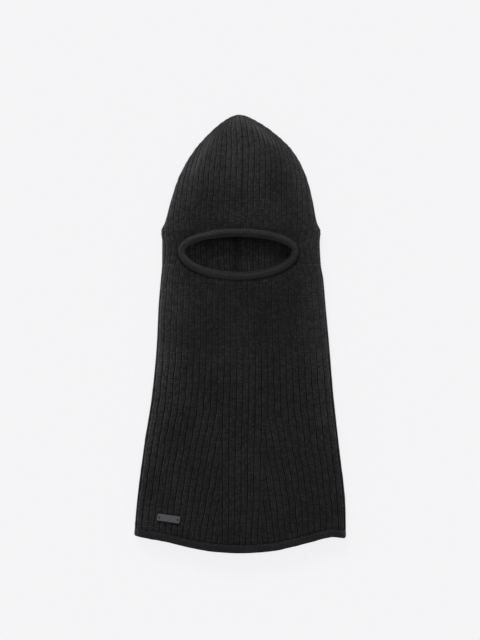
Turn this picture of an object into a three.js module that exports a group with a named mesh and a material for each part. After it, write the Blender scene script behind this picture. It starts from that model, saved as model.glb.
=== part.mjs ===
// A rib-knit balaclava, lying flat on its back. Millimetres, +Z up.
// X runs across the garment, +Y towards the crown, and the hem is at -Y.
// The origin is under the middle of the garment, on the surface that it lies on.
import * as THREE from 'three';
import { mergeVertices } from 'three/addons/utils/BufferGeometryUtils.js';

// Outline, as the edge of the garment seen from above: height up the garment, left edge, right edge.
const APEX_Y = 252;
const OUTLINE = [
  { y: -233, left: -122, right: 122.3 },
  { y: -205, left: -119.5, right: 121.8 },
  { y: -131, left: -110.5, right: 114.2 },
  { y: -68, left: -101, right: 107.4 },
  { y: -12, left: -96, right: 103 },
  { y: 34, left: -94.2, right: 98.8 },
  { y: 80, left: -89.8, right: 93.3 },
  { y: 106, left: -89.6, right: 92 },
  { y: 117, left: -91, right: 93.3 },
  { y: 128, left: -86.8, right: 88.8 },
  { y: 154, left: -79.4, right: 83.6 },
  { y: 181, left: -70.2, right: 76.2 },
  { y: 209, left: -54, right: 61.6 },
  { y: 232, left: -33.8, right: 38.3 },
  { y: 246, left: -16.4, right: 17.4 },
  { y: 251.9, left: -2.5, right: 2.2 },
];
const SHOULDER_Y = 117;         // where the hood is linked to the neck

// Hem: the height of its free edge across the garment, lowest in the middle.
const HEM_STATIONS = [
  { x: -122, y: -233.2 },
  { x: -103.5, y: -236.4 },
  { x: -86, y: -239.6 },
  { x: -57.5, y: -246.4 },
  { x: -30, y: -250.9 },
  { x: 0, y: -252.6 },
  { x: 30, y: -251 },
  { x: 57.5, y: -246 },
  { x: 80, y: -240.5 },
  { x: 99, y: -235.6 },
  { x: 109, y: -234.3 },
  { x: 122.3, y: -235.6 },
];
const HEM_HEIGHT = 9.5;
const HEM_THICKNESS = 4.6;
const HEM_BACK_SETBACK = 1.2;   // the back hem sits this much higher than the front one

// Thickness of the garment, from the surface that it lies on.
const CLOTH = 4;                // one layer of knit
const FRONT_TOP = 16.5;         // top of the front panels, away from the edges
const SEAM_Z = 6;               // height of the side and crown seams
const FRONT_ROUNDING = 30;      // width of the rounded margin of the front
const BACK_ROUNDING = 9;        // and of the back
const SEAM_RADIUS = 1.5;
const SEAM_POINTS = 12;         // stretches between the points that a side seam runs through
const CROWN_SEAM_HEIGHTS = [118, 128, 154, 181, 205, 224, 238, 246];
const CROWN_CLEAR = 4.5;        // from the apex down to the panels
const GAP = 0.35;               // between touching pieces

// Facets: the same number across every panel, so that their edges match.
const PANEL_COLUMNS = 28;
const HOOD_ROWS = 10;
const NECK_ROWS = 12;
const BACK_ROWS = 18;
const HEM_ROWS = 2;
const GUSSET_COLUMNS = 4;
const GUSSET_ROWS = 12;
const RING_STEPS = 72;
const TRIM_SIDES = 12;
const LINKING_SIDES = 6;
const SIDE_SEAM_STEPS = 24;
const CROWN_SEAM_STEPS = 48;

// Face opening: the middle line of its tubular trim, deeper below its ends than above them.
const EYE_X = -1.5;
const EYE_Y = 95;
const EYE_HALF_WIDTH = 65;
const EYE_UP = 20.8;
const EYE_DOWN = 28.4;
const TRIM_ACROSS = 4.5;        // half the width of the tube
const TRIM_UP = 4;              // half its height
const TRIM_Z = 15.5;
const LINKING_RADIUS = 0.8;
const LINKING_Z = 13.4;
const LINKING_OFFSET = TRIM_ACROSS + GAP + LINKING_RADIUS;
const SLOT_CLEAR = 0.5;         // from the linking ring to the panels
const SLOT_OFFSET = LINKING_OFFSET + LINKING_RADIUS + SLOT_CLEAR;

// Gussets at the ends of the face opening.
const GUSSET_UP_ANGLE = THREE.MathUtils.degToRad(32);
const GUSSET_DOWN_ANGLE = THREE.MathUtils.degToRad(36);
const GUSSET_TOP_Y = 117;
const GUSSET_BOTTOM_Y = 80;
const GUSSET_CLEAR = 0.025;     // share of a gusset's height left clear at its top and bottom

// Label: a thin plate near the left corner of the front hem, its right end a little lower.
const LABEL = { x: -82, y: -212.4, length: 25.7, width: 7.6, thickness: 1.2, corner: 0.8 };
const LABEL_TURN = THREE.MathUtils.degToRad(-8);
const STITCH_INSET = 2.3;       // from the end of the label to its stitch
const STITCH_HOLE = 0.9;
const STITCH = { shank: 0.5, head: 1.1, height: 0.7 };

// ---- Outline as functions of the height up the garment ----

// The edges are smooth against the square root of the distance below the apex, which rounds the tip.
const belowApex = (y) => Math.sqrt(Math.max(APEX_Y - y, 0));

function edgeCurve(side) {
  const stations = OUTLINE.toReversed();
  const along = stations.map((station) => belowApex(station.y));
  const across = stations.map((station) => station[side]);
  const curve = new THREE.CubicInterpolant(along, across, 1);
  return (y) => curve.evaluate(belowApex(y))[0];
}

const leftEdge = edgeCurve('left');
const rightEdge = edgeCurve('right');
const PANEL_INSET = 2 * SEAM_RADIUS + GAP;

// How far across one unit square to an edge is, which grows where the edge leans over the crown.
function leaning(edge, y) {
  const step = 0.5;
  return Math.hypot(1, (edge(y) - edge(y - step)) / step);
}

// A point a share u of the way from the left margin of a panel to its right margin.
function across(u, y) {
  const left = leftEdge(y) + PANEL_INSET * leaning(leftEdge, y);
  const right = rightEdge(y) - PANEL_INSET * leaning(rightEdge, y);
  return THREE.MathUtils.lerp(left, right, u);
}

// Distance of a point from the nearer edge of the garment, measured square to that edge.
function fromEdge(x, y) {
  const nearer = rightEdge(y) - x < x - leftEdge(y) ? rightEdge : leftEdge;
  return Math.abs(nearer(y) - x) / leaning(nearer, y);
}

// 0 at the edge of the garment, rising to 1 as a quarter circle does.
function rounding(x, y, margin) {
  const short = 1 - Math.min(fromEdge(x, y) / margin, 1);
  return Math.sqrt(1 - short * short);
}

const hemAcross = HEM_STATIONS.map((station) => station.x);
const hemHeights = HEM_STATIONS.map((station) => station.y);
const hemCurve = new THREE.CubicInterpolant(hemAcross, hemHeights, 1);
const hemLine = (x) => hemCurve.evaluate(x)[0];

// ---- Heights of the two layers ----

function frontFaces(x, y) {
  const low = SEAM_Z + GAP;
  const bottom = THREE.MathUtils.lerp(low, FRONT_TOP - CLOTH, rounding(x, y, FRONT_ROUNDING));
  return { top: bottom + CLOTH, bottom };
}

function backFaces(x, y) {
  const raised = SEAM_Z - GAP - CLOTH;
  const bottom = raised * (1 - rounding(x, y, BACK_ROUNDING));
  return { top: bottom + CLOTH, bottom };
}

// ---- Face opening ----

// A point of the ring round the opening, offset outwards from the middle of the trim.
function onEye(angle, offset = 0) {
  const rise = Math.sin(angle) > 0 ? EYE_UP : EYE_DOWN;
  const x = EYE_X + (EYE_HALF_WIDTH + offset) * Math.cos(angle);
  const y = EYE_Y + (rise + offset) * Math.sin(angle);
  return new THREE.Vector2(x, y);
}

// Where the gussets meet the opening, as distances from its middle.
const SLOT_HALF_WIDTH = EYE_HALF_WIDTH + SLOT_OFFSET;
const slotTopAt = (dx) => EYE_Y + (EYE_UP + SLOT_OFFSET) * Math.sqrt(1 - (dx / SLOT_HALF_WIDTH) ** 2);
const slotBottomAt = (dx) => EYE_Y - (EYE_DOWN + SLOT_OFFSET) * Math.sqrt(1 - (dx / SLOT_HALF_WIDTH) ** 2);

// The edge of a front panel beside the opening: its curve in the middle, a slanted line past the gusset.
function slotEdge(slotAt, angle, sideY) {
  const turn = SLOT_HALF_WIDTH * Math.cos(angle);
  return (x) => {
    const dx = x - EYE_X;
    if (Math.abs(dx) <= turn) return slotAt(dx);
    const side = dx < 0 ? leftEdge(SHOULDER_Y) : rightEdge(SHOULDER_Y);
    const share = (Math.abs(dx) - turn) / (Math.abs(side - EYE_X) - turn);
    return THREE.MathUtils.lerp(slotAt(turn), sideY, Math.min(share, 1));
  };
}

const hoodLowerEdge = slotEdge(slotTopAt, GUSSET_UP_ANGLE, GUSSET_TOP_Y);
const neckUpperEdge = slotEdge(slotBottomAt, GUSSET_DOWN_ANGLE, GUSSET_BOTTOM_Y);

// The height at which the column u of a panel meets an edge given as y for each x.
function meets(u, edge) {
  let y = edge(0);
  for (let turn = 0; turn < 8; turn += 1) y = edge(across(u, y));
  return y;
}

// ---- Geometry builders ----

// A closed sheet over a grid. place(u, v) gives x, y and the heights of the top and bottom faces.
function sheetGeometry(columns, rows, place) {
  const wide = columns + 1;
  const layer = wide * (rows + 1);
  const positions = [];
  const index = [];
  const quad = (a, b, c, d) => index.push(a, b, c, a, c, d);
  for (const face of ['top', 'bottom']) {
    for (let j = 0; j <= rows; j += 1) {
      for (let i = 0; i <= columns; i += 1) {
        const at = place(i / columns, j / rows);
        positions.push(at.x, at.y, at[face]);
      }
    }
  }
  for (let j = 0; j < rows; j += 1) {
    for (let i = 0; i < columns; i += 1) {
      const a = j * wide + i;
      quad(a, a + 1, a + 1 + wide, a + wide);
      quad(a + layer, a + wide + layer, a + wide + 1 + layer, a + 1 + layer);
    }
  }
  const rim = [];
  for (let i = 0; i < columns; i += 1) rim.push(i);
  for (let j = 0; j < rows; j += 1) rim.push(columns + j * wide);
  for (let i = columns; i > 0; i -= 1) rim.push(rows * wide + i);
  for (let j = rows; j > 0; j -= 1) rim.push(j * wide);
  rim.forEach((from, k) => {
    const to = rim[(k + 1) % rim.length];
    quad(from + layer, to + layer, to, from);
  });
  const geometry = new THREE.BufferGeometry();
  geometry.setAttribute('position', new THREE.Float32BufferAttribute(positions, 3));
  geometry.setIndex(index);
  return geometry;
}

// A closed ring that follows the face opening: a torus whose ring is mapped to the trim's line.
function eyeRingGeometry(offset, halfAcross, halfUp, z, sides) {
  const radius = 10;
  const geometry = new THREE.TorusGeometry(radius, 1, sides, RING_STEPS);
  geometry.deleteAttribute('normal');
  geometry.deleteAttribute('uv');
  const merged = mergeVertices(geometry);
  const position = merged.getAttribute('position');
  for (let i = 0; i < position.count; i += 1) {
    const angle = Math.atan2(position.getY(i), position.getX(i));
    const outwards = Math.hypot(position.getX(i), position.getY(i)) - radius;
    const at = onEye(angle, offset + outwards * halfAcross);
    position.setXYZ(i, at.x, at.y, z + position.getZ(i) * halfUp);
  }
  return merged;
}

// A round tube along a curve.
function seamGeometry(points, steps) {
  const section = new THREE.Shape();
  section.absarc(0, 0, SEAM_RADIUS, 0, 2 * Math.PI);
  const extrudePath = new THREE.CatmullRomCurve3(points);
  return new THREE.ExtrudeGeometry(section, { steps, curveSegments: 4, extrudePath });
}

// ---- Materials ----

const knit = (name, color) => new THREE.MeshStandardMaterial({ name, color, roughness: 0.95 });
const ribKnit = knit('rib_knit', 0x212122);
const smoothKnit = knit('smooth_knit', 0x262627);
const linkingYarn = knit('linking_yarn', 0x1b1b1c);
const labelMetal = new THREE.MeshStandardMaterial({
  name: 'label_plate', color: 0x4b4c4e, roughness: 0.5, metalness: 0.7,
});

const group = new THREE.Group();

function addPart(name, geometry, material) {
  const mesh = new THREE.Mesh(geometry, material);
  mesh.name = name;
  group.add(mesh);
  return mesh;
}

// ---- Panels ----

function addHoodFront() {
  const top = APEX_Y - CROWN_CLEAR;
  const place = (u, v) => {
    const from = meets(u, hoodLowerEdge) + GAP;
    const y = THREE.MathUtils.lerp(from, top, Math.sin(v * Math.PI / 2));
    const x = across(u, y);
    return { x, y, ...frontFaces(x, y) };
  };
  addPart('hood_front', sheetGeometry(PANEL_COLUMNS, HOOD_ROWS, place), ribKnit);
}

function addNeckFront() {
  const place = (u, v) => {
    const to = meets(u, neckUpperEdge) - GAP;
    const from = meets(u, hemLine) + HEM_HEIGHT + GAP;
    const y = THREE.MathUtils.lerp(from, to, v);
    const x = across(u, y);
    return { x, y, ...frontFaces(x, y) };
  };
  addPart('neck_front', sheetGeometry(PANEL_COLUMNS, NECK_ROWS, place), ribKnit);
}

// side is -1 for the left gusset and 1 for the right one.
function addGusset(side) {
  const place = (u, v) => {
    const share = THREE.MathUtils.lerp(GUSSET_CLEAR, 1 - GUSSET_CLEAR, v);
    const angle = THREE.MathUtils.lerp(-GUSSET_DOWN_ANGLE, GUSSET_UP_ANGLE, share);
    const inner = onEye(side > 0 ? angle : Math.PI - angle, SLOT_OFFSET);
    const outerY = THREE.MathUtils.lerp(GUSSET_BOTTOM_Y, GUSSET_TOP_Y, share);
    const outer = new THREE.Vector2(across(side > 0 ? 1 : 0, outerY), outerY);
    const at = side > 0 ? inner.lerp(outer, u) : outer.lerp(inner, u);
    return { x: at.x, y: at.y, ...frontFaces(at.x, at.y) };
  };
  const name = side > 0 ? 'gusset_right' : 'gusset_left';
  addPart(name, sheetGeometry(GUSSET_COLUMNS, GUSSET_ROWS, place), ribKnit);
}

function addBackPanel() {
  const top = APEX_Y - CROWN_CLEAR;
  const place = (u, v) => {
    const from = meets(u, hemLine) + HEM_HEIGHT + HEM_BACK_SETBACK + GAP;
    const y = THREE.MathUtils.lerp(from, top, Math.sin(v * Math.PI / 2));
    const x = across(u, y);
    return { x, y, ...backFaces(x, y) };
  };
  addPart('back_panel', sheetGeometry(PANEL_COLUMNS, BACK_ROWS, place), ribKnit);
}

// ---- Hems ----

function addHem(name, faces, setback) {
  const spread = (HEM_THICKNESS - CLOTH) / 2;
  const place = (u, v) => {
    const y = meets(u, hemLine) + setback + HEM_HEIGHT * v;
    const x = across(u, y);
    const { top, bottom } = faces(x, y);
    const lowered = Math.min(spread, bottom);
    return { x, y, top: top + spread, bottom: bottom - lowered };
  };
  addPart(name, sheetGeometry(PANEL_COLUMNS, HEM_ROWS, place), smoothKnit);
}

// ---- Trim and seams ----

function addTrim() {
  const trim = eyeRingGeometry(0, TRIM_ACROSS, TRIM_UP, TRIM_Z, TRIM_SIDES);
  addPart('eye_trim', trim, smoothKnit);
  const radius = LINKING_RADIUS;
  const ring = eyeRingGeometry(LINKING_OFFSET, radius, radius, LINKING_Z, LINKING_SIDES);
  addPart('trim_linking', ring, linkingYarn);
}

function addSideSeam(name, edge, inwards) {
  const from = hemLine(edge(OUTLINE[0].y)) + HEM_HEIGHT;
  const to = SHOULDER_Y - GAP;
  const points = [];
  for (let k = 0; k <= SEAM_POINTS; k += 1) {
    const y = THREE.MathUtils.lerp(from, to, k / SEAM_POINTS);
    points.push(new THREE.Vector3(edge(y) + inwards * SEAM_RADIUS, y, SEAM_Z));
  }
  addPart(name, seamGeometry(points, SIDE_SEAM_STEPS), linkingYarn);
}

function addCrownSeam() {
  const side = (edge, inwards) => CROWN_SEAM_HEIGHTS.map((y) => {
    const x = edge(y) + inwards * SEAM_RADIUS * leaning(edge, y);
    return new THREE.Vector3(x, y, SEAM_Z);
  });
  const left = side(leftEdge, 1);
  const right = side(rightEdge, -1).toReversed();
  const tip = new THREE.Vector3(0, APEX_Y - SEAM_RADIUS, SEAM_Z);
  addPart('crown_seam', seamGeometry([...left, tip, ...right], CROWN_SEAM_STEPS), linkingYarn);
}

// ---- Label ----

function labelShape() {
  const { length, width, corner } = LABEL;
  const shape = new THREE.Shape();
  const x = length / 2 - corner;
  const y = width / 2 - corner;
  shape.absarc(x, y, corner, 0, Math.PI / 2);
  shape.absarc(-x, y, corner, Math.PI / 2, Math.PI);
  shape.absarc(-x, -y, corner, Math.PI, 1.5 * Math.PI);
  shape.absarc(x, -y, corner, 1.5 * Math.PI, 2 * Math.PI);
  for (const side of [-1, 1]) {
    const hole = new THREE.Path();
    hole.absarc(side * (length / 2 - STITCH_INSET), 0, STITCH_HOLE, 0, 2 * Math.PI, true);
    shape.holes.push(hole);
  }
  return shape;
}

// A stitch seen as a small peg: a shank through the hole and a domed head on the plate.
function stitchGeometry() {
  const { shank, head, height } = STITCH;
  const under = LABEL.thickness + GAP;
  const profile = [
    new THREE.Vector2(0, 0),
    new THREE.Vector2(shank, 0),
    new THREE.Vector2(shank, under),
    new THREE.Vector2(head, under),
    new THREE.Vector2(head * 0.7, under + height * 0.7),
    new THREE.Vector2(0, under + height),
  ];
  return new THREE.LatheGeometry(profile, 12).rotateX(Math.PI / 2);
}

function addLabel() {
  const z = FRONT_TOP + GAP;
  const geometry = new THREE.ExtrudeGeometry(labelShape(), {
    depth: LABEL.thickness, bevelEnabled: false, curveSegments: 6,
  });
  const plate = addPart('front_label', geometry, labelMetal);
  plate.position.set(LABEL.x, LABEL.y, z);
  plate.rotation.z = LABEL_TURN;
  const names = ['label_stitch_left', 'label_stitch_right'];
  names.forEach((name, k) => {
    const along = (k === 0 ? -1 : 1) * (LABEL.length / 2 - STITCH_INSET);
    const stitch = addPart(name, stitchGeometry(), linkingYarn);
    const x = LABEL.x + along * Math.cos(LABEL_TURN);
    const y = LABEL.y + along * Math.sin(LABEL_TURN);
    stitch.position.set(x, y, z);
  });
}

addHoodFront();
addNeckFront();
addGusset(-1);
addGusset(1);
addBackPanel();
addHem('hem_front', frontFaces, 0);
addHem('hem_back', backFaces, HEM_BACK_SETBACK);
addTrim();
addSideSeam('side_seam_left', leftEdge, 1);
addSideSeam('side_seam_right', rightEdge, -1);
addCrownSeam();
addLabel();

export default group;
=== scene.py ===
"""A black rib-knit balaclava, laid flat on its back on a pale floor and seen from straight above.

X runs across the garment, +Y towards the crown, +Z up. Everything is in metres, in the CAD's frame.
Each knitted panel is a closed sheet whose ribs are real relief; the stitches are in the material's bump.
"""
import math

import bmesh
import bpy
import numpy as np
from mathutils import Matrix, Vector


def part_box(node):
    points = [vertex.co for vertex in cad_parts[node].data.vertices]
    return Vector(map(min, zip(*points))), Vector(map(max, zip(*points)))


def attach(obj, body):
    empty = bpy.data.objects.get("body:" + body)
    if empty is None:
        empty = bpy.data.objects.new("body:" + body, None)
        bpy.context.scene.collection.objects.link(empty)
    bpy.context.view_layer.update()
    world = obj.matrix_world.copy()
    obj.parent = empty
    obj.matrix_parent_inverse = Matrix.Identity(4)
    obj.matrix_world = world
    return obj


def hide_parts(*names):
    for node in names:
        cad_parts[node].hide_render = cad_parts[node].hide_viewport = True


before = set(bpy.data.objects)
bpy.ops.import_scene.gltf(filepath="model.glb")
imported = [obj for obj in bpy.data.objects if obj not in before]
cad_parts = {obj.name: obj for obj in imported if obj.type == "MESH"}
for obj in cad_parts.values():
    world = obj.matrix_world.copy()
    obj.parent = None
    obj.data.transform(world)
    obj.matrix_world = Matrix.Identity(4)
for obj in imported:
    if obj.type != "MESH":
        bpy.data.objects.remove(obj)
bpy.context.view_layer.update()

MM = 0.001

# ----------------------------------------------------------
# Driving dimensions, in metres
# ----------------------------------------------------------

APEX_Y = 0.2522
# in millimetres: Y, and X of the left and the right edge there
OUTLINE = np.array([
    (-233.0, -122.2, 122.3),
    (-205.0, -120.0, 121.9),
    (-131.0, -110.9, 114.4),
    (-68.0, -101.2, 107.5),
    (-12.0, -96.2, 103.0),
    (34.0, -94.0, 98.8),
    (62.0, -91.6, 96.4),
    (80.0, -90.1, 93.4),
    (106.0, -89.9, 92.2),
    (117.0, -91.2, 93.2),
    (128.0, -86.8, 88.9),
    (154.0, -79.6, 83.8),
    (181.0, -70.3, 76.4),
    (209.0, -54.4, 61.9),
    (232.0, -34.2, 38.6),
    (246.0, -17.2, 17.2),
    (251.9, -3.2, 1.4),
]) * MM

# in millimetres: X, and Y of the hem's free edge there
HEM_STATIONS = np.array([
    (-122.2, -233.2),
    (-103.5, -236.5),
    (-86.0, -239.6),
    (-57.5, -246.4),
    (-30.0, -250.9),
    (0.0, -252.7),
    (30.0, -251.1),
    (57.5, -246.1),
    (80.0, -240.5),
    (99.0, -235.6),
    (107.0, -234.3),
    (115.0, -235.2),
    (122.3, -236.2),
]) * MM
HEM_HEIGHT = 0.0095
HEM_BACK_SETBACK = 0.0012

CLOTH = 0.0034                  # one layer of knit between its relief
FRONT_TOP = 0.0154              # plateau of the front, in the middle of its relief
BACK_REST = 0.0011              # the back's outer face above the floor, in the middle of its relief
SEAM_Z = 0.006                  # height of the side and crown seams
SEAM_GAP = 0.0005               # from there to the rim of each face
SEAM_RADIUS = 0.0009
SEAM_INSET = 0.0004
EDGE_INSET = 0.0007             # the rim's relief stands out by this much
FRONT_MARGIN = 0.015            # rounded margin of the front, measured square to the edge
BACK_MARGIN = 0.010
LOFT_REACH = 0.058              # past the margin the front still rises gently, up to here
SWELL_REACH = 0.030             # and its slow unevenness fades in over this width
PANEL_TIP = 0.0003              # the panels end this far short of the apex
EVEN_TIP = 0.0025               # and their thickness points one way from here upwards
HEM_THICK_OUT = 0.0024          # half thicknesses of the welt
HEM_THICK_IN = 0.0020
HEM_WAVE = 0.00012              # height of the welt's own wales
JOIN_DEPTH = 0.0006             # how far the cloth sinks at a linked join, and over what width
JOIN_WIDTH = 0.0014
PANEL_JOIN = 0.5                # share of it where two panels meet, and where the hem is joined
HEM_JOIN = 1.6
# folds of the crown: start, end, height and spread
CROWN_FOLDS = [
    ((-0.056, 0.181), (-0.031, 0.229), 0.0028, 0.0040),
    ((0.010, 0.243), (0.042, 0.216), 0.0018, 0.0050),
    ((0.003, 0.250), (0.003, 0.140), -0.0007, 0.0024),
]

EYE_X = -0.002                  # middle line of the trim of the face opening
EYE_Y = 0.095
EYE_HALF_WIDTH = 0.0653
EYE_UP = 0.0208
EYE_DOWN = 0.0286
TRIM_Z = 0.0146
TRIM_HALF_HEIGHT = 0.0042
TRIM_TOP = 0.0045               # half widths of the trim above, beside and below the opening
TRIM_SIDE = 0.0032
TRIM_BOTTOM = 0.0043
TRIM_ENDS = 0.0006              # what is added at the opening's two ends
TRIM_WALE = 0.0026              # width and height of the trim's own wales
TRIM_WAVE = 0.00016
TRIM_CREASE = 0.0018            # how deep the cloth dips beside the trim
TRIM_CREASE_FROM = 0.0040       # where the dip starts, from the trim's middle line, and its width
TRIM_CREASE_WIDTH = 0.0034
LINKING_OFFSET = 0.0006
LINKING_RADIUS = 0.00075
LINKING_Z = 0.0140
LINKING_TWIST = 0.0032          # length of one turn of the yarn's plies
SEAM_TWIST = 0.0046
THREAD_TWIST = 0.0012
THREAD_RADIUS = 0.00045
PLY_DEPTH = 0.22                # how far the plies stand out, as a share of the yarn's radius

GUSSET_UP = math.radians(32)
GUSSET_DOWN = math.radians(36)
GUSSET_TOP_Y = 0.117
GUSSET_BOTTOM_Y = 0.080

LABEL_LENGTH = 0.0257
LABEL_WIDTH = 0.0074
LABEL_CORNER = 0.0008
LABEL_HALF_THICK = 0.00038      # without its rounded edges
LABEL_EDGE = 0.00022
LABEL_TURN = math.radians(-8)
LABEL_Z = 0.0159
LABEL_TILT = 0.035              # the cloth under the label rises towards the middle of the garment
STITCH_INSET = 0.0023
STITCH_HOLE = 0.0009
STITCH_LOOP = 0.0009            # radius of a stitch's loop, and how far its middle is above the plate's
STITCH_RISE = 0.0002

RIBS_PER_HALF = 14.3            # ribs from the middle to a side, above the increases
RIB_RELIEF = 0.0018             # height of a rib over the valleys beside it
WALE_GROOVE = 0.0005            # depth of the groove between the two wales of a rib
CROWN_PITCH = 0.0067            # rib pitch in the middle of the crown
CROWN_GATHER = 0.45             # share of the crown's ribs that crowd together; the rest end at its seam
INCREASE_FROM_Y = -0.0937       # where the neck starts to widen by increases
INCREASE_EVERY = 0.0368         # one more rib on each side every so often
STRIP_HALF = 0.0255             # half width of the straight strip between the increases
COURSE = 0.0021                 # height of one row of stitches

PINCH_REACH = 0.046             # height over which ribs are drawn in towards the opening's ends
PINCH_LEFT = 0.0055             # and how far they are drawn in there
PINCH_RIGHT = 0.0070

YARN_SHEEN = 0.06
WALE_REACH = 0.84               # a rib's two wales reach this far from its middle towards the valleys
GROOVE_REACH = 0.28             # and the dark line between them this far

INCREASED_RIBS = 4              # columns kept for the ribs that the increases add to each half
COLUMNS_PER_RIB = 12
HEM_COLUMNS_PER_RIB = 10
HEM_ROWS = 22
GUSSET_ROWS = 44
GUSSET_COLUMNS = 64
FRONT_ROW = 0.0011              # spacing of the grid's rows
BACK_ROW = 0.0018
TIP_CROWDING = 1.3              # rows stand closer together near the apex
TRIM_STEPS = 720
TRIM_SIDES = 36
LINKING_STEPS = 1200
LINKING_STEP = 0.00028          # spacing of the points of each yarn
SEAM_STEP = 0.0005
THREAD_STEP = 0.0001
YARN_SIDES = 12
THREAD_SIDES = 10

# ----------------------------------------------------------
# Outline and helpers
# ----------------------------------------------------------


def smooth_through(xs, ys):
    """A monotone cubic through points, as a function of arrays."""
    h = np.diff(xs)
    d = np.diff(ys) / h
    m = np.empty_like(ys)
    m[0], m[-1] = d[0], d[-1]
    same = d[:-1] * d[1:] > 0
    w1, w2 = 2 * h[1:] + h[:-1], h[1:] + 2 * h[:-1]
    with np.errstate(divide="ignore", invalid="ignore"):
        harmonic = (w1 + w2) / (w1 / d[:-1] + w2 / d[1:])
    m[1:-1] = np.where(same, harmonic, 0.0)

    def at(x):
        x = np.clip(x, xs[0], xs[-1])
        k = np.clip(np.searchsorted(xs, x) - 1, 0, len(h) - 1)
        t = (x - xs[k]) / h[k]
        a, b = ys[k], ys[k + 1]
        p, q = m[k] * h[k], m[k + 1] * h[k]
        return a + t * (p + t * (3 * (b - a) - 2 * p - q + t * (2 * (a - b) + p + q)))

    return at


def below_apex(y):
    """The root of the distance below the apex, in which the round crown is a smooth curve."""
    return np.sqrt(np.maximum(APEX_Y - np.asarray(y, float), 0))


_stations = OUTLINE[::-1]
_left = smooth_through(below_apex(_stations[:, 0]), _stations[:, 1])
_right = smooth_through(below_apex(_stations[:, 0]), _stations[:, 2])


def left_edge(y):
    return _left(below_apex(y))


def right_edge(y):
    return _right(below_apex(y))


def middle(y):
    return (right_edge(y) + left_edge(y)) / 2


def leaning(edge, y, step=0.0005):
    """An edge's own length for each unit of height: 1 where it is upright."""
    return np.hypot(1, (edge(y) - edge(y - step)) / step)


hem_line = smooth_through(HEM_STATIONS[:, 0], HEM_STATIONS[:, 1])


def smoothstep(a, b, x):
    """0 up to a and 1 past b, with a smooth rise between them. b may be the lower one."""
    t = np.clip((x - a) / (b - a), 0, 1)
    return t * t * (3 - 2 * t)


def bell(x, width):
    return np.exp(-(x / width) ** 2)


def cloud(x, y, cell, seed):
    """Smooth random unevenness from -1 to 1, with lumps the size of cell."""
    lattice = np.random.default_rng(seed).uniform(-1, 1, (256, 256))
    u, v = x / cell + 128, y / cell + 128
    i, j = np.floor(u).astype(int), np.floor(v).astype(int)
    s, t = u - i, v - j
    s, t = s * s * (3 - 2 * s), t * t * (3 - 2 * t)
    i, j = i % 255, j % 255
    near = lattice[j, i] * (1 - s) + lattice[j, i + 1] * s
    far = lattice[j + 1, i] * (1 - s) + lattice[j + 1, i + 1] * s
    return near * (1 - t) + far * t


# ----------------------------------------------------------
# Ribs: a phase that grows by one from rib to rib, whole in the valleys
# ----------------------------------------------------------


def increases(y):
    """How many ribs the neck has gained on each side."""
    return np.maximum((INCREASE_FROM_Y - y) / INCREASE_EVERY, 0)


# the ribs ignore the outline's bulge beside the opening
_calm = _stations[np.abs(_stations[:, 0] - 0.1115) > 0.008]
_rib_spread = smooth_through(below_apex(_calm[:, 0]), (_calm[:, 2] - _calm[:, 1]) / 2)


def rib_phase(x, y):
    """The ribs of a panel: straight in the middle and splayed below the increases.

    Towards the apex some crowd together at the sides and the others end at the crown seam.
    """
    w = _rib_spread(below_apex(y))
    dx = x - middle(y)
    extra = increases(y)
    pitch = np.maximum(w / (RIBS_PER_HALF + extra), CROWN_PITCH)
    u = dx / np.maximum(w, 1e-4)
    gathered = CROWN_GATHER * np.maximum(RIBS_PER_HALF + extra - w / pitch, 0)
    inner = dx / pitch + gathered * u ** 3
    outside = np.abs(dx) > STRIP_HALF
    return inner - np.where(outside, np.sign(dx) * extra, 0)


def unpinched(x, y):
    """Where the rib at x would be if the opening did not draw the ribs in at its two ends."""
    near = (0.5 + 0.5 * np.cos(math.pi * np.clip(np.abs(y - EYE_Y) / PINCH_REACH, 0, 1))) ** 1.5
    reach = np.where(x < 0, -PINCH_LEFT, PINCH_RIGHT)
    far = np.abs(x)
    side = smoothstep(0.034, 0.068, far) * (1 - 0.25 * smoothstep(0.070, 0.092, far))
    return x + reach * near * side


def front_phase(x, y):
    wobble = 0.07 * cloud(x, y, 0.011, 3) + 0.05 * cloud(x, y, 0.0045, 4)
    return rib_phase(unpinched(x, y), y) + wobble


def rib_profile(phase):
    """Two profiles: a ridge, 1 on a rib and 0 in a valley, and the groove between its two wales."""
    across = np.abs(2 * (phase - np.floor(phase)) - 1)
    return 1 - across ** 3.6, bell(across, 0.18)


def ribbed(y):
    """How high the ribs stand: 1 at the crown and below the neck, less where the cloth is stretched."""
    return 0.5 + 0.5 * (smoothstep(0.0, -0.050, y) + smoothstep(0.135, 0.185, y))


def relief(phase, y, strength=1.0):
    ridge, groove = rib_profile(phase)
    return strength * (RIB_RELIEF * ribbed(y) * (ridge - 0.5) - WALE_GROOVE * groove)


# ----------------------------------------------------------
# Meshes
# ----------------------------------------------------------


def placed(name, data):
    """A new object in the scene, from a mesh, a curve, a lamp or a camera."""
    obj = bpy.data.objects.new(name, data)
    bpy.context.scene.collection.objects.link(obj)
    return obj


def mesh_object(name, verts, faces, attributes, material, smooth=True):
    mesh = bpy.data.meshes.new(name)
    mesh.vertices.add(len(verts))
    mesh.vertices.foreach_set("co", np.ascontiguousarray(verts, np.float32).ravel())
    faces = np.ascontiguousarray(faces, np.int32)
    mesh.loops.add(faces.size)
    mesh.loops.foreach_set("vertex_index", faces.ravel())
    mesh.polygons.add(len(faces))
    mesh.polygons.foreach_set("loop_start", np.arange(0, faces.size, faces.shape[1], dtype=np.int32))
    mesh.update(calc_edges=True)
    mesh.polygons.foreach_set("use_smooth", np.full(len(faces), smooth))
    return finished(mesh, attributes, material)


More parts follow.
